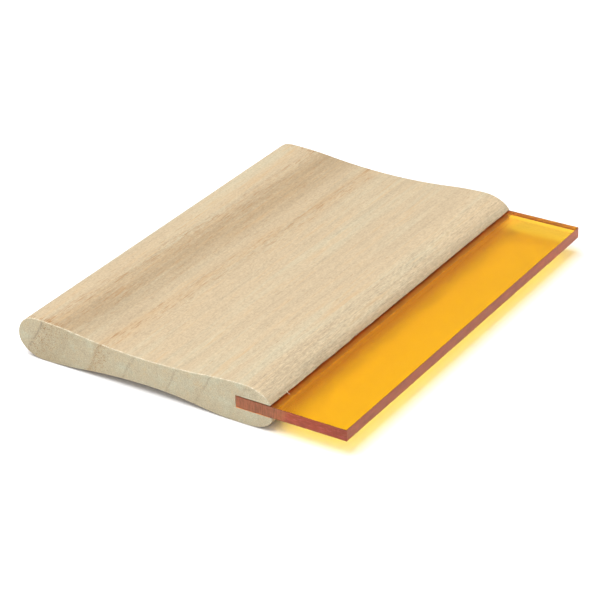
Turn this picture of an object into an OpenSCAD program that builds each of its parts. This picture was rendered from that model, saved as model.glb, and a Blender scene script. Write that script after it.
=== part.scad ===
// Hand squeegee: a waisted wooden board with a flexible blade bonded into a groove along its front.
// X runs from the butt of the handle to the tip of the blade, Y along the length, Z up from the bench.
// The origin is on the bench, under the middle of the whole tool.

/* [Overall] */
// Length of the handle and of the blade, along Y
length = 190; // [100:5:400]
// Width of the handle, from its butt to the front of its lower jaw
handle_w = 123.8; // [100:1:160]
// Thickness of the handle at its two rounded lobes
handle_t = 18.4; // [15:0.2:26]

/* [Handle section] */
// Thickness at the waist, where the fingers lie
waist_t = 11.8; // [10:0.2:15]
// Where the waist lies between the two crests, from the front one: 0.5 is midway
waist_place = 0.46; // [0.35:0.01:0.65]
// Share of each flank that is hollow, the rest being crowned
hollow_share = 0.62; // [0.5:0.05:0.9]
// How much lower the upper face stands at its front crest than at the butt
front_drop = 0.7; // [0:0.1:1.5]
// Radius of the slope that runs down to the upper lip
lip_r = 17; // [12:1:40]
// Thickness of the upper lip at its thin edge
lip_t = 0.3; // [0.2:0.1:1]
// How far the upper lip stands behind the front of the lower jaw
lip_back = 0; // [0:0.1:2]
// Length of the rounding under the butt, whose section is a quarter ellipse
heel_reach = 12.5; // [9:0.5:16]
// Length of the lower jaw's nose, whose section is a quarter ellipse
nose_reach = 11; // [4:0.5:16]
// Width of the flat foot behind the nose, on which the handle lies
foot_w = 6; // [2:0.5:12]

/* [Blade] */
// Width of the blade stock, from its seat to its tip
blade_w = 50; // [35:1:75]
// Thickness of the blade stock
blade_t = 5; // [4:0.5:7]
// How deep the blade sits behind the front of the lower jaw
blade_in = 16.5; // [12:0.2:20]

/* [Adhesive] */
// Thickness of the adhesive film above, below and behind the blade
glue_t = 0.25; // [0.1:0.05:0.5]
// How far the film stops short of the upper lip
glue_back = 1; // [0.5:0.5:3]

/* [Hidden] */

// Places along X
total_w = handle_w + blade_w - blade_in;
butt_x = -total_w / 2;
tip_x = total_w / 2;
jaw_x = butt_x + handle_w;
seat_x = jaw_x - blade_in;
lip_x = jaw_x - lip_back;

// Heights are measured from the board's middle plane, which the groove and the blade share
lobe_r = handle_t / 2;
groove_t = blade_t + 2 * glue_t;
nose_h = lobe_r - groove_t / 2;
front_h = lobe_r - front_drop;

// The slope to the upper lip is an arc that leaves the front crest level and ends at the lip's thin edge
lip_drop = front_h - groove_t / 2 - lip_t;
lip_turn = acos((lip_r - lip_drop) / lip_r);
front_crest_x = lip_x - lip_r * sin(lip_turn);
rear_crest_x = butt_x + lobe_r;
waist_x = front_crest_x - waist_place * (front_crest_x - rear_crest_x);
foot_x = jaw_x - nose_reach - foot_w;

// Flats along each arc of the section
butt_steps = 18;
hollow_steps = 10;
crown_steps = 6;
lip_steps = 8;
nose_steps = 12;

// Points along an arc between two angles, without its first point
function arc(centre, r, from, to, steps) =
    [for (i = [1:steps]) let (a = from + (to - from) * i / steps) centre + r * [cos(a), sin(a)]];

// Each flank runs from a crest to the waist along a crowned arc and a hollow arc. Both are level at their
// outer ends and tangent where they meet, so their radii add up to (reach^2 + depth^2) / (2 depth).
function flank_r(reach, depth) = (reach * reach + depth * depth) / (2 * depth);
function flank_turn(reach, depth) = asin(reach / flank_r(reach, depth));

// The crowned arc and the hollow arc from a crest to the waist; side is -1 for the rear crest and 1 for the front
function crown(crest, side, steps) =
    let (reach = abs(waist_x - crest.x), depth = crest.y - waist_t / 2,
         r = (1 - hollow_share) * flank_r(reach, depth), turn = flank_turn(reach, depth))
    side < 0
        ? arc([crest.x, crest.y - r], r, 90, 90 - turn, steps)
        : arc([crest.x, crest.y - r], r, 90 + turn, 90, steps);
function hollow(crest, side, steps) =
    let (reach = abs(waist_x - crest.x), depth = crest.y - waist_t / 2,
         r = hollow_share * flank_r(reach, depth), turn = flank_turn(reach, depth))
    side < 0
        ? arc([waist_x, waist_t / 2 + r], r, -90 - turn, -90, steps)
        : arc([waist_x, waist_t / 2 + r], r, -90, -90 + turn, steps);

// One face of the board in X and height, from the butt over a rear crest to a front crest. The butt's rounding is
// a quarter ellipse, which is a quarter circle when the rear crest is as far from the butt as it is high.
function face_line(rear, front) = concat(
    [[butt_x, 0]],
    [for (i = [1:butt_steps]) let (a = 90 * i / butt_steps)
        [rear.x - (rear.x - butt_x) * cos(a), rear.y * sin(a)]],
    crown(rear, -1, crown_steps),
    hollow(rear, -1, hollow_steps),
    hollow(front, 1, hollow_steps),
    crown(front, 1, crown_steps)
);
upper_line = face_line([rear_crest_x, lobe_r], [front_crest_x, front_h]);
lower_face = face_line([butt_x + heel_reach, lobe_r], [foot_x, lobe_r]);

// The upper slope and its thin lip, the groove, and the lower jaw with its elliptical nose
front_line = concat(
    arc([front_crest_x, front_h - lip_r], lip_r, 90, 90 - lip_turn, lip_steps),
    [[lip_x, groove_t / 2],
     [seat_x - glue_t, groove_t / 2],
     [seat_x - glue_t, -groove_t / 2]],
    [for (i = [0:nose_steps]) let (a = 90 * i / nose_steps)
        [jaw_x - nose_reach + nose_reach * cos(a), -groove_t / 2 - nose_h * sin(a)]]
);

// The lower face runs back from the foot to the butt
lower_line = [for (i = [len(lower_face) - 1:-1:1]) [lower_face[i].x, -lower_face[i].y]];

// Rectangle between two corners
module span(low, high) {
    translate(low) square(high - low);
}

module blade_section() {
    span([seat_x, -blade_t / 2], [tip_x, blade_t / 2]);
}

// Carries a section over the whole length, with its middle plane at its height above the bench
module along_length() {
    translate([0, length / 2, lobe_r]) rotate([90, 0, 0]) linear_extrude(height = length) children();
}

module handle() {
    color([0.87, 0.78, 0.62])
        along_length() polygon(concat(upper_line, front_line, lower_line));
}

module blade() {
    color([0.95, 0.62, 0.08, 0.8]) along_length() blade_section();
}

module adhesive() {
    color([0.45, 0.3, 0.16])
        along_length() difference() {
            span([seat_x - glue_t, -groove_t / 2], [lip_x - glue_back, groove_t / 2]);
            blade_section();
        }
}

handle();
blade();
adhesive();
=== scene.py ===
"""Hand squeegee: a waisted wooden grip with an amber blade bonded into a groove along its front.

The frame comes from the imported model. X runs from the butt of the handle to the tip of the blade, Y along
the length, Z up from the bench. Lengths in the code are metres, and patterns work in millimetres.
"""

import math

import bpy
import numpy as np
from mathutils import Matrix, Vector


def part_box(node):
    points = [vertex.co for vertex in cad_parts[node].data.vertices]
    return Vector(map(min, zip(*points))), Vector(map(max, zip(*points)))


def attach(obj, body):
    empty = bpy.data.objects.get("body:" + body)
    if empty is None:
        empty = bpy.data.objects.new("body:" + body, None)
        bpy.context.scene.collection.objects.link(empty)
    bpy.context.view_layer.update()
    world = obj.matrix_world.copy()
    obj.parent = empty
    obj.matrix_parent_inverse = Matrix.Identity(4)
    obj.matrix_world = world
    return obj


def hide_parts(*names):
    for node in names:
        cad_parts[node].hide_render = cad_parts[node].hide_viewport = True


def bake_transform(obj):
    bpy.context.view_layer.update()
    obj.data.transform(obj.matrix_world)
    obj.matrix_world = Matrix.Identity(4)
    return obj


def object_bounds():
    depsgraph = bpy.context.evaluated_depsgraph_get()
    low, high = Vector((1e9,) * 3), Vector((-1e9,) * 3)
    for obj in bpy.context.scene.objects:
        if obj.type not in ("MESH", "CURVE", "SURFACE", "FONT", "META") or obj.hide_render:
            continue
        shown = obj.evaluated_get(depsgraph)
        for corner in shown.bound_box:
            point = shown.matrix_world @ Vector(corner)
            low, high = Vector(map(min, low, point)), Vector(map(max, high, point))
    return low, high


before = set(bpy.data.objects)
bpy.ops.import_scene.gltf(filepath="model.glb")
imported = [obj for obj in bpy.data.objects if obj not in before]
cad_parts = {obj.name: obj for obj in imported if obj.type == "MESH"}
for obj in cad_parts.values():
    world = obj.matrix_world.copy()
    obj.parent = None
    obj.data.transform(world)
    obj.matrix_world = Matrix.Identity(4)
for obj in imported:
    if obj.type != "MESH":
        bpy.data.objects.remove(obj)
CAD_LOW, CAD_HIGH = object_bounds()

bl_info = {
    "name": "Hand squeegee",
    "version": (1, 0, 0),
    "blender": (4, 5, 0),
    "location": "3D View > Sidebar > Squeegee",
    "description": "Builds a wooden hand squeegee with an amber blade, and the stage it lies on",
    "category": "Object",
}

MM = 0.001
HANDLE_LOW, HANDLE_HIGH = (np.array(c, float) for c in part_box("handle"))
BLADE_LOW, BLADE_HIGH = (np.array(c, float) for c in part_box("blade"))
MID_Z = float(BLADE_LOW[2] + BLADE_HIGH[2]) / 2
NEAR_Y, FAR_Y = float(HANDLE_LOW[1]), float(HANDLE_HIGH[1])
# Half the length and the middle height in millimetres, for the patterns
END = round(FAR_Y / MM, 3)
MIDDLE = round(MID_Z / MM, 3)
# Where the ring pattern starts and ends, counted across the growth rings in millimetres
RING_SPAN = (-90, 60)
# The ring lines: place across the growth rings and how dark
RING_LINES = ((-67.0, 1.0), (-36.5, 0.55), (-19.4, 0.6), (1.4, 0.6), (16.8, 0.55), (33.0, 0.4))
# How far the torn lip stands back on average, as a share of its raggedness
LIP_BACK = 1.1
# The four long slivers on the lip: place from the near end in mm, share of the longest, thickness in mm
LONG_SLIVERS = ((12, 0.8, 0.3), (63, 0.6, 0.2), (104, 0.5, 0.2), (138, 0.6, 0.2))


# Sizes and colours ------------------------------------------------------------------------------------


def number_prop(name, description, default, **limits):
    """A plain number."""
    return bpy.props.FloatProperty(name=name, description=description, default=default, **limits)


def length_prop(name, description, default):
    """A length in metres."""
    return number_prop(name, description, default, unit="LENGTH", subtype="DISTANCE", precision=5)


def colour_prop(name, description, default):
    """A colour, in linear light."""
    return bpy.props.FloatVectorProperty(
        name=name, description=description, default=default, size=3, min=0, max=1, subtype="COLOR"
    )


def factor_prop(name, description, default, top=1.0):
    """A plain number from 0 to top."""
    return number_prop(name, description, default, min=0, max=top)


def count_prop(name, description, default, least):
    """A whole number, no smaller than least."""
    return bpy.props.IntProperty(name=name, description=description, default=default, min=least)


class SqueegeeHandleSettings(bpy.types.PropertyGroup):
    """The wooden handle's section and the looks of its wood."""

    waist: length_prop("Waist", "Thickness at the waist, where the fingers lie", 11.8 * MM)
    waist_place: factor_prop("Waist place", "Waist's place from the front crest to the rear one", 0.46)
    hollow_share: factor_prop("Hollow share", "Share of each flank that is hollow, not crowned", 0.62)
    front_drop: length_prop("Front drop", "How much lower the front crest is than the rear one", 0.7 * MM)
    lip_radius: length_prop("Lip radius", "Radius of the slope that runs down to the upper lip", 17 * MM)
    lip_edge: length_prop("Lip edge", "Thickness of the upper lip at its thin edge", 0.3 * MM)
    heel_reach: length_prop("Heel reach", "Length of the butt's elliptical rounding underneath", 12.5 * MM)
    nose_reach: length_prop("Nose reach", "Length of the lower jaw's elliptical nose", 11 * MM)
    foot: length_prop("Foot", "Width of the flat on which the handle lies", 6 * MM)
    easing: length_prop("End easing", "Radius sanded round the two end faces", 0.4 * MM)
    ragged: length_prop("Ragged lip", "How far the torn lip stands back and wanders", 0.4 * MM)
    pale: colour_prop("Pale wood", "Sapwood between the growth rings", (0.410, 0.352, 0.240))
    warm: colour_prop("Warm wood", "Pinkish wood in the slow bands", (0.405, 0.316, 0.203))
    stain: colour_prop("Orange streaks", "Orange-brown stain along some fibres", (0.40, 0.265, 0.135))
    brown: colour_prop("Brown band", "The brown band near the butt", (0.315, 0.232, 0.136))
    pore: colour_prop("Pores", "Long open pores on the faces", (0.27, 0.15, 0.062))
    line: colour_prop("Ring lines", "Thin late wood that closes each ring", (0.25, 0.185, 0.118))
    end_grain: colour_prop("End grain", "What the sawn ends keep of the face colour", (0.885, 0.965, 1.0))
    fuzz: colour_prop("Raised fibres", "Fibres raised along the cut edges", (0.60, 0.53, 0.40))


class SqueegeeBladeSettings(bpy.types.PropertyGroup):
    """The polyurethane blade: its edges, its tint and its cut faces."""

    easing: length_prop("Edge easing", "Radius along the cut edges", 0.12 * MM)
    amber: colour_prop("Amber", "Tint that light takes at the surface", (1.0, 0.81, 0.12))
    # Painted shade: how much of the amber is kept in a darker band near the far end
    far_painted_shade: colour_prop("Far tint", "How much of the amber is kept near the far end", (0.84, 0.70, 0.9))
    depth_tint: colour_prop("Depth tint", "Colour that thick rubber keeps", (0.993, 0.84, 0.0))
    density: number_prop("Depth density", "How fast the depth tint takes hold, per metre", 180.0, min=0)
    index: number_prop("Refraction", "Index of refraction", 1.4, min=1, max=2)
    # Painted light: orange emission beside the jaws, where the rubber lies in shade
    painted_jaw_glow: colour_prop("Glow at the jaws", "Light scattered out beside the jaws", (0.165, 0.056, 0.0))
    front: colour_prop("Front face", "The sliced front face", (0.76, 0.205, 0.07))
    # Painted sheen: purplish streaked highlights, strongest where the ends stand clear of the jaws
    painted_sheen: colour_prop("Drag marks", "Purplish streaks where the knife dragged", (0.66, 0.16, 0.12))
    end: colour_prop("End faces", "The sawn end faces", (0.52, 0.095, 0.035))
    # Painted light: the far sawn end is a brighter orange, standing in for light shining through it from
    # behind
    far_end_painted_light: colour_prop("Far end", "The far sawn end, which was cut cleaner", (0.85, 0.24, 0.07))
    sanded: colour_prop("Sanded end", "The end between the jaws, sanded with the wood", (0.66, 0.24, 0.11))
    # Painted shade: the cut faces are darkened along their top and bottom edges
    edge_shade: colour_prop("Rims", "Dark edges of the cut faces", (0.27, 0.055, 0.014))


class SqueegeeFilmSettings(bpy.types.PropertyGroup):
    """The adhesive film between blade and groove."""

    clearance: length_prop("Clearance", "Gap kept to the rubber and the wood", 0.02 * MM)
    recess: length_prop("End recess", "How far the upper film stops short of the ends", 0.5 * MM)
    pull: length_prop("Front pull", "How far the front edge draws back at most", 0.25 * MM)
    colour: colour_prop("Film", "Cured adhesive", (0.50, 0.15, 0.02))


class SqueegeeFibreSettings(bpy.types.PropertyGroup):
    """Loose wood fibres torn up along the lip and the ends."""

    lip_count: count_prop("Lip fibres", "Fibres along the lip", 120, len(LONG_SLIVERS))
    end_count: count_prop("End fibres", "Fibres along each end", 90, 1)
    longest: length_prop("Longest", "Length that the long slivers are shares of", 4.5 * MM)
    seed: count_prop("Seed", "Picks one arrangement of the fibres", 7, 0)


class SqueegeeStageSettings(bpy.types.PropertyGroup):
    """The bench, the lights and the camera."""

    floor: colour_prop("Floor", "The pale bench", (0.81, 0.81, 0.815))
    room: factor_prop("Room light", "Strength of the white room all round", 0.42, 5.0)
    key: number_prop("Key light", "Power of the lamp overhead", 29.8, unit="POWER")
    fill: number_prop("Fill light", "Power of the lamp at the near side", 28.0, unit="POWER")
    lens: number_prop("Lens", "Focal length in millimetres", 135.03, min=10)


# Shader maths -----------------------------------------------------------------------------------------


class Signal:
    """A socket's value. Sums on it add Math nodes, so that a pattern reads as a formula."""

    def __init__(self, tree, socket):
        self.tree, self.socket = tree, socket

    def math(self, operation, *terms):
        """One Math node whose inputs are the terms, which are signals or numbers."""
        return self.tree.add("ShaderNodeMath", {"operation": operation}, dict(enumerate(terms)))

    def __add__(self, other):
        return self.math("ADD", self, other)

    def __radd__(self, other):
        return self.math("ADD", other, self)

    def __sub__(self, other):
        return self.math("SUBTRACT", self, other)

    def __rsub__(self, other):
        return self.math("SUBTRACT", other, self)

    def __mul__(self, other):
        return self.math("MULTIPLY", self, other)

    def __rmul__(self, other):
        return self.math("MULTIPLY", other, self)

    def __truediv__(self, other):
        return self.math("DIVIDE", self, other)

    def __abs__(self):
        return self.math("ABSOLUTE", self)

    def most(self, other):
        """The larger of the two."""
        return self.math("MAXIMUM", self, other)

    def step(self, low, high):
        """0 at low and 1 at high, or the other way round, easing in and out between them."""
        settings = {"interpolation_type": "SMOOTHSTEP", "clamp": True}
        start = 0.0 if low < high else 1.0
        values = {"Value": self, "From Min": min(low, high), "From Max": max(low, high)}
        values.update({"To Min": start, "To Max": 1.0 - start})
        return self.tree.add("ShaderNodeMapRange", settings, values)


class Finish:
    """A material and its node tree, with one method that adds any node."""

    def __init__(self, name):
        self.material = bpy.data.materials.new(name)
        self.material.use_nodes = True
        self.nodes, self.links = self.material.node_tree.nodes, self.material.node_tree.links
        self.nodes.clear()
        self.output = self.nodes.new("ShaderNodeOutputMaterial")

    def add(self, kind, settings=None, values=None, out=0):
        """Adds a node: its settings are set first, then each input gets its number or link."""
        node = self.nodes.new(kind)
        for key, value in (settings or {}).items():
            if key == "stops":
                self.set_stops(node.color_ramp, value)
            elif key == "ramp_shape":
                node.color_ramp.interpolation = value
            else:
                setattr(node, key, value)
        for key, value in (values or {}).items():
            if isinstance(value, Signal):
                self.links.new(value.socket, node.inputs[key])
            else:
                node.inputs[key].default_value = value
        return Signal(self, node.outputs[out])

    @staticmethod
    def set_stops(ramp, stops):
        """Gives the ramp these (place, colour or grey) stops and no others."""
        elements = ramp.elements
        while len(elements) > 1:
            elements.remove(elements[-1])
        for i, (place, tone) in enumerate(stops):
            element = elements[0] if i == 0 else elements.new(place)
            element.position = place
            element.color = (*tone, 1.0) if hasattr(tone, "__len__") else (tone, tone, tone, 1.0)

    def place(self):
        """The point on the piece, as three signals in millimetres."""
        point = self.add("ShaderNodeTexCoord", out="Object")
        split = self.add("ShaderNodeSeparateXYZ", values={0: point})
        axes = [Signal(self, split.socket.node.outputs[i]) for i in range(3)]
        return [axis * (1.0 / MM) for axis in axes]

    def vector(self, x, y, z):
        """Three signals as one vector."""
        return self.add("ShaderNodeCombineXYZ", values={0: x, 1: y, 2: z})

    def noise(self, x, y, z, detail=2.0, rough=0.5):
        """Soft noise about 0, between -0.5 and 0.5, over the three signals."""
        values = {"Vector": self.vector(x, y, z), "Scale": 1.0, "Detail": detail, "Roughness": rough}
        return self.add("ShaderNodeTexNoise", {"noise_dimensions": "3D"}, values) - 0.5

    def cells(self, x, y, z):
        """Distance to the nearest of the points strewn one to a unit cell."""
        values = {"Vector": self.vector(x, y, z), "Scale": 1.0}
        return self.add("ShaderNodeTexVoronoi", {"feature": "F1"}, values)

    def ramp(self, signal, span, stops, shape="LINEAR"):
        """A ramp over a span (low, high), with stops given at places in it."""
        low, high = span
        stops = [((place - low) / (high - low), tone) for place, tone in stops]
        share = (signal - low) / (high - low)
        return self.add("ShaderNodeValToRGB", {"stops": stops, "ramp_shape": shape}, {0: share})

    def mix(self, factor, first, second, way="MIX"):
        """The first colour giving way to the second as the factor rises."""
        first = (*first, 1.0) if not isinstance(first, Signal) else first
        second = (*second, 1.0) if not isinstance(second, Signal) else second
        settings = {"data_type": "RGBA", "blend_type": way, "clamp_factor": True}
        return self.add("ShaderNodeMix", settings, {0: factor, 6: first, 7: second}, out=2)

    def scaled(self, tone, factor):
        """A colour times a signal."""
        return self.add("ShaderNodeVectorMath", {"operation": "SCALE"}, {0: tone, "Scale": factor})

    def bump(self, height, strength, distance):
        """A Bump node for a height signal."""
        values = {"Height": height, "Strength": strength, "Distance": distance}
        return self.add("ShaderNodeBump", values=values)

    def surface(self, values, absorption=None):
        """The Principled shader, and an absorbing inside if its colour and density are given."""
        shader = self.add("ShaderNodeBsdfPrincipled", values=values)
        self.links.new(shader.socket, self.output.inputs["Surface"])
        if absorption is not None:
            colour, density = absorption
            values = {"Color": (*colour, 1.0), "Density": density}
            inside = self.add("ShaderNodeVolumeAbsorption", values=values)
            self.links.new(inside.socket, self.output.inputs["Volume"])
        return self.material


# Meshes -----------------------------------------------------------------------------------------------


def arc(centre, radius, start, stop, steps):
    """Points on a circle between two angles in degrees, ends included: centre + radius (cos a, sin a)."""
    a = np.radians(np.linspace(start, stop, steps + 1))
    return np.stack([centre[0] + radius * np.cos(a), centre[1] + radius * np.sin(a)], 1)


def straight(start, stop, steps):
    """Evenly spaced points between two points, both ends included."""
    t = np.linspace(0, 1, steps + 1)[:, None]
    return (1 - t) * np.array(start, float) + t * np.array(stop, float)


def joined(*runs):
    """Runs of points in a row, with the points where two runs meet kept once."""
    points = np.concatenate(runs)
    gap = np.linalg.norm(points - np.roll(points, 1, 0), axis=1)
    return points[gap > 1e-7]


def outward(loop):
    """Unit normals of a closed loop of points that runs clockwise, pointing out of it."""
    ahead, behind = np.roll(loop, -1, 0) - loop, loop - np.roll(loop, 1, 0)
    ahead /= np.linalg.norm(ahead, axis=1)[:, None]
    behind /= np.linalg.norm(behind, axis=1)[:, None]
    along = ahead + behind
    along /= np.linalg.norm(along, axis=1)[:, None]
    return np.stack([-along[:, 1], along[:, 0]], 1)


def wander(places, spacing, rng):
    """A smooth random line from -1 to 1: random heights a spacing apart, joined by cosine steps."""
    first, last = places.min() - spacing, places.max() + 2 * spacing
    count = int((last - first) / spacing) + 2
    heights = rng.uniform(-1, 1, count)
    t = (places - first) / spacing
    i = np.floor(t).astype(int)
    ease = 0.5 - 0.5 * np.cos(np.pi * (t - i))
    return heights[i] * (1 - ease) + heights[i + 1] * ease


def grid_faces(rows, columns):
    """Quads of a grid whose columns close on themselves, as four vertex numbers each."""
    i, j = np.meshgrid(np.arange(rows - 1), np.arange(columns), indexing="ij")
    here, after, k = i * columns, (i + 1) * columns, (j + 1) % columns
    return np.stack([here + j, here + k, after + k, after + j], -1)


def piece_from_rings(name, rings, finishes, slots=None, sharp=30.0):
    """A closed piece through rings of points, one ring per station, with a flat cap at each end.

    slots gives each quad's material slot by station and place on the ring, and the caps take the last
    slot. The faces are turned over if the volume that they enclose comes out negative.
    """
    rows, columns = rings.shape[:2]
    quads = grid_faces(rows, columns).reshape(-1, 4)
    first, last = np.arange(columns)[::-1], np.arange(columns) + (rows - 1) * columns
    points = rings.reshape(-1, 3)
    a, b, c, d = (points[quads[:, i]] - points.mean(0) for i in range(4))
    if (a * (np.cross(b, c) + np.cross(c, d))).sum() < 0:
        quads, first, last = quads[:, ::-1], first[::-1], last[::-1]
    mesh = bpy.data.meshes.new(name)
    mesh.from_pydata(points.tolist(), [], quads.tolist() + [first.tolist(), last.tolist()])
    for finish in finishes:
        mesh.materials.append(finish)
    if slots is not None:
        chosen = np.concatenate([slots.ravel(), [len(finishes) - 1] * 2]).astype(np.int32)
        mesh.polygons.foreach_set("material_index", chosen)
    mesh.shade_smooth()
    mesh.set_sharp_from_angle(angle=math.radians(sharp))
    mesh.update()
    if mesh.validate(verbose=False):
        raise RuntimeError(f"{name}: the mesh needed repair")
    piece = bpy.data.objects.new(name, mesh)
    bpy.context.scene.collection.objects.link(piece)
    return piece


def stations(low, high, easing, steps, spacing):
    """Places along the length, and how far in from the outline each ring lies.

    Each end follows a quarter circle: place = low + easing (1 - cos a), inset = easing (1 - sin a).
    """
    a = np.linspace(0, np.pi / 2, steps + 1)
    lead, inset = easing * (1 - np.cos(a)), easing * (1 - np.sin(a))
    count = int(round((high - low - 2 * easing) / spacing))
    middle = np.linspace(low + easing, high - easing, count + 1)[1:-1]
    places = np.concatenate([low + lead, middle, (high - lead)[::-1]])
    insets = np.concatenate([inset, np.zeros(len(middle)), inset[::-1]])
    return places, insets


# The handle -------------------------------------------------------------------------------------------


def handle_section(s):
    """The handle's outline in X and Z, clockwise from the butt, and two weights for each of its points.

    The weights are how much of the end easing a point takes, and how much it wanders with the torn lip.
    Each face is a quarter ellipse at the butt, round above and longer underneath, then from crest to waist
    to crest a crowned arc, two hollow arcs and a crowned arc, all tangent; the arcs' radii add up to
    (reach^2 + depth^2) / (2 depth). An arc slopes down to the lip, and a quarter ellipse makes the nose
    of the lower jaw.
    """
    butt, lip = HANDLE_LOW[0], HANDLE_HIGH[0]
    lobe = (HANDLE_HIGH[2] - HANDLE_LOW[2]) / 2
    seat = BLADE_LOW[0]
    film = seat - film_back()
    groove = (BLADE_HIGH[2] - BLADE_LOW[2]) / 2 + film
    front_height = lobe - s.front_drop
    drop = front_height - groove - s.lip_edge
    turn = math.degrees(math.acos((s.lip_radius - drop) / s.lip_radius))
    front = lip - s.lip_radius * math.sin(math.radians(turn))
    waist = front - s.waist_place * (front - (butt + lobe))
    foot = lip - s.nose_reach - s.foot

    def flank(crest, height):
        """Radii of the hollow and the crowned arc from the waist to a crest, and their turn in degrees."""
        reach, depth = abs(waist - crest), height - s.waist / 2
        total = (reach**2 + depth**2) / (2 * depth)
        turned = math.degrees(math.asin(reach / total))
        return s.hollow_share * total, (1 - s.hollow_share) * total, turned

    def face(heel, crest, height):
        """One face's outline above the middle plane, from the butt to the front crest."""
        hollow_a, crown_a, turn_a = flank(butt + heel, lobe)
        hollow_b, crown_b, turn_b = flank(crest, height)
        a = np.linspace(0, np.pi / 2, 31)
        return joined(
            np.stack([butt + heel * (1 - np.cos(a)), lobe * np.sin(a)], 1),
            arc((butt + heel, lobe - crown_a), crown_a, 90, 90 - turn_a, 16),
            arc((waist, s.waist / 2 + hollow_a), hollow_a, -90 - turn_a, -90, 16),
            arc((waist, s.waist / 2 + hollow_b), hollow_b, -90, -90 + turn_b, 16),
            arc((crest, height - crown_b), crown_b, 90 + turn_b, 90, 16),
        )

    a = np.linspace(0, np.pi / 2, 24)
    nose = np.stack([lip - s.nose_reach * (1 - np.cos(a)), -groove - (lobe - groove) * np.sin(a)], 1)
    back = seat - film
    crest_arc = arc((front, front_height - s.lip_radius), s.lip_radius, 90, 90 - turn, 26)
    loop = joined(
        face(lobe, front, front_height),
        crest_arc,
        straight((lip, groove + s.lip_edge), (lip, groove), 2),
        straight((lip, groove), (back, groove), 10),
        straight((back, groove), (back, -groove), 4),
        straight((back, -groove), (lip, -groove), 10),
        nose,
        face(s.heel_reach, foot, lobe)[:0:-1] * (1, -1),
    )
    loop[:, 1] += MID_Z
    x, z = loop[:, 0], loop[:, 1]
    # The groove isn't eased, and the easing fades over the last 7 mm before the thin lip
    in_groove = (x >= back - 1e-6) & (np.abs(z - MID_Z) < groove + 1e-6)
    thin = np.clip((lip - x) / (7 * MM), 0.12, 1)
    ease = np.where(in_groove, 0.0, np.where((z > MID_Z) & (x > front), thin, 1.0))
    # Only the last 2.5 mm of the upper lip is torn
    lip_weight = np.where(z > MID_Z, np.clip(1 - (lip - x) / (2.5 * MM), 0, 1), 0.0)
    return loop, ease, lip_weight


def film_back():
    """Where the back of the groove lies along X, which is the back of the adhesive film."""
    return float(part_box("adhesive")[0][0])


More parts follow.
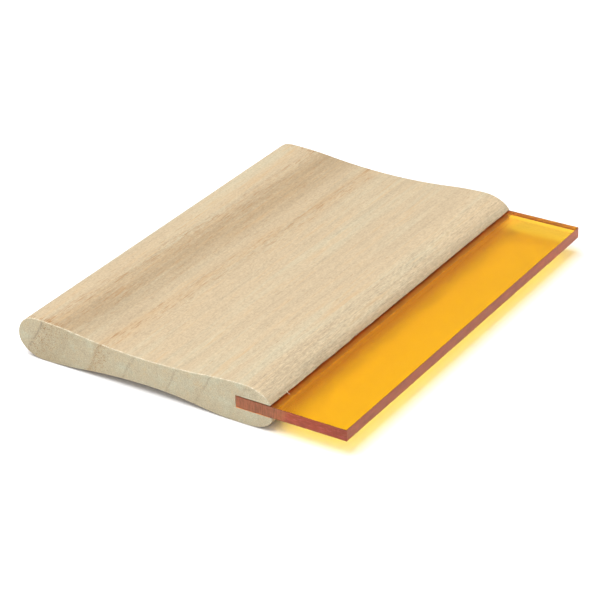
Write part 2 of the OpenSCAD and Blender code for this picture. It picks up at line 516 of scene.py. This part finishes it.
def wood(s):
    """Pale ring-porous wood, one solid pattern for every face.

    A point's place across the growth rings is x, less the rings' lean over the height and the grain's
    drift along the length, plus slow noise. Bands, ring lines and pores are looked up at that place, and
    everything is drawn out along Y, so that pores are dots on the ends and dashes on the faces.
    """
    f = Finish("pale_wood")
    x, y, z = f.place()
    slow = f.noise(x * 0.03, y * 0.011, z * 0.06, detail=1.0)
    fine = f.noise(x * 0.6, y * 0.03, z * 0.6, detail=2.0)
    lean, drift = 0.6, 0.045
    ring = x - lean * (z - 15.0) - drift * (y + END) + slow * 5.0 + fine * 1.2

    # The brown band by the waist, which is paler on the ends
    end = abs(y).step(END - 0.45, END - 0.15)
    band = [(-76, 0.0), (-67, 0.12), (-61, 0.75), (-54, 1.0), (-48, 0.6), (-42, 0.22), (-30, 0.12),
            (-20, 0.04), (0, 0.0)]
    brown = f.ramp(ring, RING_SPAN, band, "EASE") * (1.0 - end * 0.55)
    warm = f.noise(x * 0.16, y * 0.008, z * 0.16, detail=3.0, rough=0.6)
    tone = f.mix((warm + 0.12).step(-0.12, 0.2), tuple(s.pale), tuple(s.warm))
    tone = f.mix(brown * (1.05 + fine * 1.6), tone, tuple(s.brown))

    # Thin late-wood lines that close the rings, broken up along their length
    edges = []
    for place, depth in RING_LINES:
        edges += [(place - 0.9, 0.0), (place - 0.2, depth), (place + 0.25, depth), (place + 0.7, 0.0)]
    broken = f.noise(x * 0.9, y * 0.045, z * 0.9, detail=3.0, rough=0.6).step(-0.12, 0.08)
    lines = f.ramp(ring, RING_SPAN, edges) * (0.25 + 0.75 * broken)
    tone = f.mix(lines * (0.34 + 0.62 * end), tone, tuple(s.line))

    # Long fibres, paler and darker, over broad soft streaks. They are stronger on the slope to the lip.
    # The top is painted paler on that slope, most of all towards the far end: painted light where the slope
    # turns away from the lamp.
    streak = f.noise(x * 0.30, y * 0.010, z * 0.30, detail=2.0, rough=0.6)
    fibre = f.noise(x * 1.1, y * 0.05, z * 1.1, detail=3.0, rough=0.65)
    thread = f.noise(x * 2.6, y * 0.30, z * 2.6, detail=3.0, rough=0.65)
    near_lip = x.step(27.0, 38.0) * z.step(11.0, 13.0)
    strength = 1.0 + near_lip * 1.6
    grit = f.noise(x * 1.2, y * 0.8, z * 1.2, detail=4.0, rough=0.8)
    shade = streak * 0.30 + (fibre * 0.26 + thread * 0.42) * strength + grit * (0.85 + brown * 0.2)
    # Painted light: the top is made paler on the slope to the lip and towards the far end
    lift = x.step(35.0, 43.0) * 0.14 + x.step(14.0, 40.0) * y.step(-20.0, 90.0) * 0.10
    tone = f.scaled(tone, 1.0 + shade + lift * z.step(10.5, 11.5))

    # Orange stain, in patches along the fibres and in one thin band
    rust = f.ramp(ring, RING_SPAN, [(-40, 0.0), (-36, 0.9), (-33, 0.5), (-28, 0.0)], "EASE") * broken
    patch = (streak * 0.9 + fibre * 1.3).step(0.02, 0.4) * 0.55
    tone = f.mix(patch.most(rust * (0.55 + thread * 1.2)), tone, tuple(s.stain))

    # Open pores, crowded in the early wood after some of the lines, and by the corners of the butt
    crowding = [(-78, 0.25), (-68, 0.5), (-66, 0.95), (-58, 0.8), (-48, 0.45), (-38, 0.25),
                (-36.5, 1.0), (-31, 0.75), (-28, 0.2), (-19, 0.35), (-12, 0.15), (1, 0.3), (8, 0.3),
                (17, 0.35), (23, 0.4), (26, 0.15), (45, 0.2)]
    crowd = f.ramp(ring, RING_SPAN, crowding)
    cell = f.cells(x * 1.15, y * 0.085, z * 1.15)
    short = f.cells(x * 1.9 + 7.0, y * 0.24, z * 1.9)
    gaps = f.noise(x * 0.35, y * 0.028, z * 0.35, detail=2.0)
    pore = (0.32 * crowd + 0.25 * gaps - cell).step(-0.06, 0.06)
    corner = abs(y).step(END - 4.5, END - 1.5) * x.step(-53.0, -58.0) * z.step(13.0, 15.0) * (1.0 - end)
    dash = (0.36 * crowd + 0.30 * gaps + 0.14 * corner - short).step(-0.08, 0.08)
    tone = f.mix(pore * (0.5 + end * 0.3) + dash * (0.38 + corner * 0.6), tone, tuple(s.pore))

    # The sawn ends are greyer, and their fine pores show as specks
    speck = f.noise(x * 2.7, y * 0.4, z * 2.7, detail=4.0, rough=0.8)
    greyed = f.mix(1.0, tone, tuple(s.end_grain), "MULTIPLY")
    tone = f.mix(end, tone, f.scaled(greyed, 1.07 + speck * 2.0))

    # Fibres stand up pale along the eased edge of each end
    raised = abs(y).step(END - 0.65, END - 0.4) * abs(y).step(END - 0.02, END - 0.1) * z.step(10.5, 12.0)
    scruff = f.noise(x * 0.9, y * 0.8, z * 0.9, detail=4.0, rough=0.8).step(-0.12, 0.18) * 0.85
    tone = f.mix(raised * scruff, tone, tuple(s.fuzz))

    height = fibre * 0.5 + thread * (0.6 + near_lip * 1.6) - (pore + dash) * 0.5 + speck * end * 1.5
    return f.surface({
        "Base Color": tone,
        "Roughness": 0.62 + fibre * 0.12,
        "Specular IOR Level": 0.3,
        "Normal": f.bump(height, 0.35, 0.00012),
    })


class SQUEEGEE_OT_handle(bpy.types.Operator):
    """Shapes the waisted wooden handle, with its ragged lip and eased ends"""

    bl_idname = "squeegee.handle"
    bl_label = "Wooden handle"

    def execute(self, context):
        s = context.scene.squeegee_handle
        loop, ease, lip_weight = handle_section(s)
        normals = outward(loop)
        places, insets = stations(NEAR_Y, FAR_Y, s.easing, 5, 0.9 * MM)
        rng = np.random.default_rng(11)
        torn = 0.6 * wander(places, 9 * MM, rng) + 0.4 * wander(places, 2.2 * MM, rng)
        back = s.ragged * np.clip(LIP_BACK + 0.6 * torn, 0, None)
        x = loop[:, 0] - insets[:, None] * ease * normals[:, 0] - back[:, None] * lip_weight
        z = loop[:, 1] - insets[:, None] * ease * normals[:, 1]
        y = np.broadcast_to(places[:, None], x.shape)
        piece = piece_from_rings("wooden_handle", np.stack([x, y, z], -1), [wood(s)])
        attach(piece, "handle")
        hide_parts("handle")
        return {"FINISHED"}


# The blade --------------------------------------------------------------------------------------------


def blade_section(easing):
    """The blade's outline in X and Z, clockwise from its seat.

    Its corners are rounded, and its points lie close together from 44 to 58 mm along X.
    """
    seat, tip = BLADE_LOW[0], BLADE_HIGH[0]
    low, high = BLADE_LOW[2], BLADE_HIGH[2]
    bend_low, bend_high = 44 * MM, 58 * MM
    bend = np.concatenate([
        np.linspace(seat + easing, bend_low, 8)[:-1],
        np.linspace(bend_low, bend_high, 36)[:-1],
        np.linspace(bend_high, tip - easing, 14),
    ])
    top = np.stack([bend, np.full_like(bend, high)], 1)
    bottom = np.stack([bend[::-1], np.full_like(bend, low)], 1)
    return joined(
        arc((seat + easing, high - easing), easing, 180, 90, 4),
        top,
        arc((tip - easing, high - easing), easing, 90, 0, 4),
        straight((tip, high - easing), (tip, low + easing), 6),
        arc((tip - easing, low + easing), easing, 0, -90, 4),
        bottom,
        arc((seat + easing, low + easing), easing, -90, -180, 4),
        straight((seat, low + easing), (seat, high - easing), 4),
    )


def amber_sheet(s):
    """Clear amber rubber with a glossy cast skin in slow, shallow waves.

    It has painted light beside the jaws, an orange emission that brightens the shade there, and its skin is
    duller there. Near the far end it is painted darker, as painted shade.
    """
    f = Finish("amber_rubber")
    x, y, z = f.place()
    skin = f.noise(x * 0.08, y * 0.05, z * 0.08, detail=1.0)
    grain = f.noise(x * 1.1, y * 1.1, z * 1.1, detail=2.0)
    dark, lit = (0.0, 0.0, 0.0), tuple(s.painted_jaw_glow)
    # Painted light: orange emission brightens the shaded rubber just in front of the jaws
    painted_glow = f.ramp(x, (44, 60), [(44.9, dark), (46.2, lit), (48.5, lit), (56, dark)], "EASE")
    # Painted shade: the amber is darkened in a band just short of the far end
    shaded = y.step(END - 13.0, END - 6.0) * y.step(END - 2.0, END - 3.2)
    painted_shade_tone = tuple(colour * kept for colour, kept in zip(s.amber, s.far_painted_shade))
    return f.surface({
        "Base Color": f.mix(shaded, tuple(s.amber), painted_shade_tone),
        "Emission Color": painted_glow,
        "Emission Strength": 1.0,
        "Roughness": 0.035 + grain * 0.02 + x.step(58.0, 46.0) * 0.26,
        "IOR": s.index,
        "Specular IOR Level": 0.4,
        "Specular Tint": (1.0, 0.6, 0.08, 1.0),
        "Transmission Weight": 1.0,
        "Normal": f.bump(skin + grain * 0.01, 0.15, 0.0006),
    }, (tuple(s.depth_tint), s.density))


def cut_faces(s):
    """The blade's cut faces: a sliced pinkish front, and sawn brown ends.

    The ends are paler and duller between the jaws, with a painted purplish sheen in streaks where they
    stand clear of them.
    The saw leaves upright lines across the ends, and every face is painted darker along its edges, as
    painted shade.
    """
    f = Finish("cut_rubber")
    x, y, z = f.place()
    # Painted shade: darker towards the top and bottom edges of the cut faces
    edge_shade = abs(z - MIDDLE).step(1.9, 2.45)
    sawn = f.noise(x * 3.6, y * 0.3, z * 0.25, detail=3.0, rough=0.65)
    cloud = f.noise(x * 0.25, y * 0.12, z * 0.6, detail=2.0)
    at_end = abs(y).step(END - 0.3, END - 0.1)
    inside = (x - (z - MIDDLE) * 0.4).step(52.6, 49.6)
    # Painted light: the far end is made brighter orange, as if lit through from behind
    far = f.mix(y.step(40.0, 90.0), tuple(s.end), tuple(s.far_end_painted_light))
    end = f.mix(inside, far, tuple(s.sanded))
    tone = f.mix(at_end, tuple(s.front), end)
    # Painted sheen: streaks of purplish highlight and lighter and darker tone, strongest on the ends
    # outside the jaws
    sheen_streak = f.noise(x * 0.35 + z * 0.12, y * 0.35, z * 1.3, detail=3.0, rough=0.65)
    outer = at_end * (1.0 - inside)
    tone = f.mix(sheen_streak.step(-0.02, 0.2) * (0.25 + outer * 0.4), tone, tuple(s.painted_sheen))
    stripe = sawn * (0.45 + at_end * inside * 1.5) + cloud * 0.5 + sheen_streak * (0.2 + outer * 0.6)
    tone = f.mix(edge_shade * 0.6, f.scaled(tone, 1.0 + stripe), tuple(s.edge_shade))
    return f.surface({
        "Base Color": tone,
        "Roughness": 0.42 + at_end * inside * 0.3 + sawn * 0.2,
        "IOR": s.index,
        "Transmission Weight": 0.65,
        "Specular IOR Level": 0.4,
        "Normal": f.bump(sawn * (0.4 + at_end) + cloud, 0.4, 0.0001),
    }, (tuple(s.depth_tint), s.density))


class SQUEEGEE_OT_blade(bpy.types.Operator):
    """Makes the amber blade, with its points close together in front of the jaws"""

    bl_idname = "squeegee.blade"
    bl_label = "Amber blade"

    def execute(self, context):
        s = context.scene.squeegee_blade
        loop = blade_section(s.easing)
        normals = outward(loop)
        places, insets = stations(BLADE_LOW[1], BLADE_HIGH[1], s.easing, 4, 3 * MM)
        x = loop[:, 0] - insets[:, None] * normals[:, 0]
        z = loop[:, 1] - insets[:, None] * normals[:, 1]
        y = np.broadcast_to(places[:, None], x.shape)
        rings = np.stack([x, y, z], -1)
        pair = rings + np.roll(rings, -1, 1)
        centre_z = (pair[:-1] + pair[1:])[..., 2] / 4
        cast = np.abs(centre_z - MID_Z) > (BLADE_HIGH[2] - BLADE_LOW[2]) / 2 - s.easing * 0.35
        slots = np.where(cast, 0, 1)
        piece = piece_from_rings("amber_blade", rings, [amber_sheet(s), cut_faces(s)], slots, 40)
        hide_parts("blade")
        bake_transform(piece)
        return {"FINISHED"}


# The adhesive -----------------------------------------------------------------------------------------


def film_finish(s):
    """Dark cured adhesive with a soft gloss and a little unevenness."""
    f = Finish("cured_adhesive")
    x, y, z = f.place()
    lump = f.noise(x * 0.5, y * 0.25, z * 0.5, detail=3.0)
    tone = f.mix(lump.step(-0.25, 0.25), tuple(s.colour), tuple(c * 2.2 for c in s.colour))
    return f.surface({
        "Base Color": tone,
        "Roughness": 0.3 + lump * 0.2,
        "Normal": f.bump(lump, 0.3, 0.0002),
    })


class SQUEEGEE_OT_film(bpy.types.Operator):
    """Lays the adhesive film over, under and behind the seated part of the blade"""

    bl_idname = "squeegee.film"
    bl_label = "Adhesive film"

    def execute(self, context):
        s = context.scene.squeegee_film
        low, high = (np.array(c, float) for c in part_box("adhesive"))
        gap = s.clearance
        seat, under, over = BLADE_LOW[0] - gap, BLADE_LOW[2] - gap, BLADE_HIGH[2] + gap
        back, front, bottom, top = low[0] + gap, high[0], low[2] + gap, high[2] - gap
        corners = [(back, top), (front, top), (front, over), (seat, over), (seat, under), (front, under),
                   (front, bottom), (back, bottom)]
        steps = (14, 2, 14, 4, 14, 2, 14, 4)
        runs = zip(corners, corners[1:] + corners[:1], steps)
        loop = joined(*(straight(start, stop, count) for start, stop, count in runs))
        places = np.linspace(low[1], high[1], 96)
        rng = np.random.default_rng(5)
        pull = s.pull * (0.5 + 0.5 * wander(places, 11 * MM, rng))
        at_front = (loop[:, 0] > front - 1e-6).astype(float)
        upper = np.clip((loop[:, 1] - MID_Z) / (1 * MM), 0, 1)
        x = loop[:, 0] - pull[:, None] * at_front
        from_end = np.minimum(places - low[1], high[1] - places)[:, None]
        short = s.recess * np.clip(1 - from_end / (3 * MM), 0, 1)
        side = np.sign((low[1] + high[1]) / 2 - places)[:, None]
        y = places[:, None] + side * (0.1 * MM + short * upper)
        z = np.broadcast_to(loop[:, 1], x.shape)
        piece = piece_from_rings("adhesive_film", np.stack([x, y, z], -1), [film_finish(s)])
        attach(piece, "handle")
        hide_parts("adhesive")
        return {"FINISHED"}


# Loose fibres -----------------------------------------------------------------------------------------


def fibre_finish(s):
    """The pale broken wood of loose fibres."""
    f = Finish("torn_wood")
    x, y, z = f.place()
    tint = f.noise(x * 1.5, y * 0.6, z * 1.5, detail=2.0)
    tone = f.mix(tint.step(-0.2, 0.2), tuple(s.fuzz), tuple(s.warm))
    return f.surface({
        "Base Color": tone,
        "Roughness": 0.75 + tint * 0.1,
        "Specular IOR Level": 0.2,
    })


def slivers(start, way, rise, length, thick, sections=7, sides=5):
    """Tapered, curling slivers, all at once: their points, quads and end caps.

    A sliver runs from its start along its way and curls towards rise: start + (way t + rise t^2) length.
    Its radius is thick (1 - t)^0.6, and its section is an ellipse with the given number of sides.
    """
    t = np.linspace(0, 1, sections)
    a = 2 * np.pi * np.arange(sides) / sides
    path = t[:, None] * way[:, None] + (t**2)[:, None] * rise[:, None]
    line = start[:, None] + length[:, None, None] * path
    across = np.cross(way, rise)
    across /= np.linalg.norm(across, axis=1)[:, None]
    # This order turns the rings so that their faces point outwards
    lift = np.cross(way, across)
    radius = thick[:, None] * np.clip(1 - t, 0.02, 1) ** 0.6
    ring = np.cos(a)[:, None] * across[:, None, None] + 0.55 * np.sin(a)[:, None] * lift[:, None, None]
    points = line[:, :, None] + radius[:, :, None, None] * ring
    base = (np.arange(len(start)) * sections * sides)[:, None]
    one = grid_faces(sections, sides).reshape(-1, 4)
    quads = (one[None] + base[:, None]).reshape(-1, 4)
    first = np.arange(sides)[::-1] + base
    last = np.arange(sides) + (sections - 1) * sides + base
    return points.reshape(-1, 3), quads, np.concatenate([first, last])


class SQUEEGEE_OT_fibres(bpy.types.Operator):
    """Strews loose fibres along the torn lip and the cut ends"""

    bl_idname = "squeegee.fibres"
    bl_label = "Loose fibres"

    def execute(self, context):
        s, h = context.scene.squeegee_fibres, context.scene.squeegee_handle
        rng = np.random.default_rng(s.seed)
        loop, ease, lip_weight = handle_section(h)
        lip, lip_z = (float(value) for value in loop[lip_weight > 0.999].max(0))
        lip -= LIP_BACK * h.ragged

        n = s.lip_count
        y = rng.uniform(NEAR_Y + 3 * MM, FAR_Y - 3 * MM, n)
        length = s.longest * rng.uniform(0.12, 0.5, n)
        long_place, long_share, long_thick = np.array(LONG_SLIVERS).T
        few = len(LONG_SLIVERS)
        y[:few], length[:few] = NEAR_Y + long_place * MM, s.longest * long_share
        start = np.stack([lip + rng.uniform(-0.9, 0.1, n) * MM, y, np.full(n, lip_z)], 1)
        start[:, 2] += 0.02 * MM + np.clip(lip - start[:, 0], 0, None) * 0.5
        side = rng.choice([-1.0, 1.0], n)
        way = np.stack([rng.uniform(0.05, 0.4, n), side, rng.uniform(0.0, 0.12, n)], 1)
        rise = np.stack([rng.uniform(0.0, 0.25, n), 0 * y, rng.uniform(0.02, 0.25, n)], 1)
        # The thickest sliver leans out over the blade
        way[0], rise[0] = (0.55, -0.8, 0.12), (0.25, 0.3, -0.2)
        thick = rng.uniform(0.05, 0.17, n) * MM
        thick[:few] = long_thick * MM
        way /= np.linalg.norm(way, axis=1)[:, None]
        sets = [slivers(start, way, rise, length, thick)]

        top = loop[(loop[:, 1] > MID_Z + 5.5 * MM) & (ease > 0.4)]
        top = top[np.argsort(top[:, 0])]
        m = s.end_count
        for end, inward in ((NEAR_Y, 1.0), (FAR_Y, -1.0)):
            x = rng.uniform(top[0, 0], top[-1, 0], m)
            z = np.interp(x, top[:, 0], top[:, 1])
            start = np.stack([x, np.full(m, end + inward * h.easing * 0.8), z - 0.03 * MM], 1)
            across, along, up = rng.uniform(-1, 1, m), rng.uniform(0.2, 1.0, m), rng.uniform(0.1, 0.5, m)
            way = np.stack([across, inward * along, up], 1)
            way /= np.linalg.norm(way, axis=1)[:, None]
            rise = np.stack([rng.uniform(-0.3, 0.3, m), 0 * x + 0.01, rng.uniform(-0.3, 0.1, m)], 1)
            length, thick = rng.uniform(0.25, 0.8, m) * MM, rng.uniform(0.02, 0.045, m) * MM
            sets.append(slivers(start, way, rise, length, thick))

        points, faces, offset = [], [], 0
        for part, quads, caps in sets:
            points.append(part)
            faces += (quads + offset).tolist() + (caps + offset).tolist()
            offset += len(part)
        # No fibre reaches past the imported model's box
        points = np.clip(np.concatenate(points), tuple(CAD_LOW), tuple(CAD_HIGH))
        mesh = bpy.data.meshes.new("loose_fibres")
        mesh.from_pydata(points.tolist(), [], faces)
        mesh.materials.append(fibre_finish(h))
        mesh.shade_smooth()
        mesh.update()
        piece = bpy.data.objects.new("loose_fibres", mesh)
        context.scene.collection.objects.link(piece)
        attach(piece, "handle")
        return {"FINISHED"}


# The stage --------------------------------------------------------------------------------------------


def placed(name, data, axes, place):
    """A lamp or camera in the scene, with its right, up and backward axes at a place."""
    matrix = np.eye(4)
    matrix[:3, :3], matrix[:3, 3] = np.stack(axes, 1), place
    piece = bpy.data.objects.new(name, data)
    piece.matrix_world = Matrix(matrix.tolist())
    bpy.context.scene.collection.objects.link(piece)
    return piece


def lamp(name, place, size, power):
    """A square white area lamp at a place, facing the middle of the bench."""
    data = bpy.data.lights.new(name, "AREA")
    data.shape, data.size, data.energy = "SQUARE", size, power
    back = np.array(place) / np.linalg.norm(place)
    side = np.cross((0.0, 1.0, 0.0) if abs(back[2]) > 0.9 else (0.0, 0.0, 1.0), back)
    side /= np.linalg.norm(side)
    placed(name, data, (side, np.cross(back, side), back), place)


class SQUEEGEE_OT_stage(bpy.types.Operator):
    """Sets the pale bench, the soft lights and the camera"""

    bl_idname = "squeegee.stage"
    bl_label = "Stage"

    def execute(self, context):
        scene, s = context.scene, context.scene.squeegee_stage
        reach, depth = 3.0, -0.1 * MM
        corners = [(reach * i, reach * j, depth) for i, j in ((-1, -1), (1, -1), (1, 1), (-1, 1))]
        mesh = bpy.data.meshes.new("bench")
        mesh.from_pydata(corners, [], [(0, 1, 2, 3)])
        f = Finish("pale_bench")
        mesh.materials.append(f.surface({
            "Base Color": (*s.floor, 1.0),
            "Roughness": 0.9,
            "Specular IOR Level": 0.1,
        }))
        floor = bpy.data.objects.new("bench", mesh)
        scene.collection.objects.link(floor)

        world = bpy.data.worlds.new("white_room")
        world.use_nodes = True
        background = world.node_tree.nodes["Background"]
        background.inputs["Color"].default_value = (1, 1, 1, 1)
        background.inputs["Strength"].default_value = s.room
        scene.world = world
        lamp("key_lamp", (-0.3, -0.2, 1.25), 1.3, s.key)
        lamp("fill_lamp", (0.8, -2.1, 1.15), 2.5, s.fill)

        data = bpy.data.cameras.new("camera")
        data.lens, data.sensor_width = s.lens, 36.0
        data.clip_start, data.clip_end = 0.01, 20.0
        right, up = (0.83804, 0.54446, -0.03550), (-0.23649, 0.42110, 0.87564)
        back, place = (0.49170, -0.72542, 0.48166), (0.46427, -0.69116, 0.45791)
        scene.camera = placed("camera", data, (right, up, back), place)
        scene.view_settings.view_transform = "Standard"
        return {"FINISHED"}


# Panel and registration -------------------------------------------------------------------------------

PARTS = (
    ("squeegee_handle", SqueegeeHandleSettings, SQUEEGEE_OT_handle),
    ("squeegee_blade", SqueegeeBladeSettings, SQUEEGEE_OT_blade),
    ("squeegee_film", SqueegeeFilmSettings, SQUEEGEE_OT_film),
    ("squeegee_fibres", SqueegeeFibreSettings, SQUEEGEE_OT_fibres),
    ("squeegee_stage", SqueegeeStageSettings, SQUEEGEE_OT_stage),
)


class SQUEEGEE_PT_panel(bpy.types.Panel):
    """Lists the squeegee's pieces with their sizes and colours"""

    bl_idname = "SQUEEGEE_PT_panel"
    bl_label = "Hand squeegee"
    bl_space_type = "VIEW_3D"
    bl_region_type = "UI"
    bl_category = "Squeegee"

    def draw(self, context):
        for name, group, operator in PARTS:
            box = self.layout.box()
            box.operator(operator.bl_idname)
            for key in group.__annotations__:
                box.prop(getattr(context.scene, name), key)


def register():
    """Registers the settings, operators and panel."""
    for name, group, operator in PARTS:
        bpy.utils.register_class(group)
        bpy.utils.register_class(operator)
        setattr(bpy.types.Scene, name, bpy.props.PointerProperty(type=group))
    bpy.utils.register_class(SQUEEGEE_PT_panel)


def unregister():
    """Undoes register."""
    bpy.utils.unregister_class(SQUEEGEE_PT_panel)
    for name, group, operator in reversed(PARTS):
        delattr(bpy.types.Scene, name)
        bpy.utils.unregister_class(operator)
        bpy.utils.unregister_class(group)


def main():
    """Builds the pieces and the stage in order."""
    register()
    for build in (
        bpy.ops.squeegee.handle,
        bpy.ops.squeegee.blade,
        bpy.ops.squeegee.film,
        bpy.ops.squeegee.fibres,
        bpy.ops.squeegee.stage,
    ):
        build()


if __name__ == "__main__":
    main()
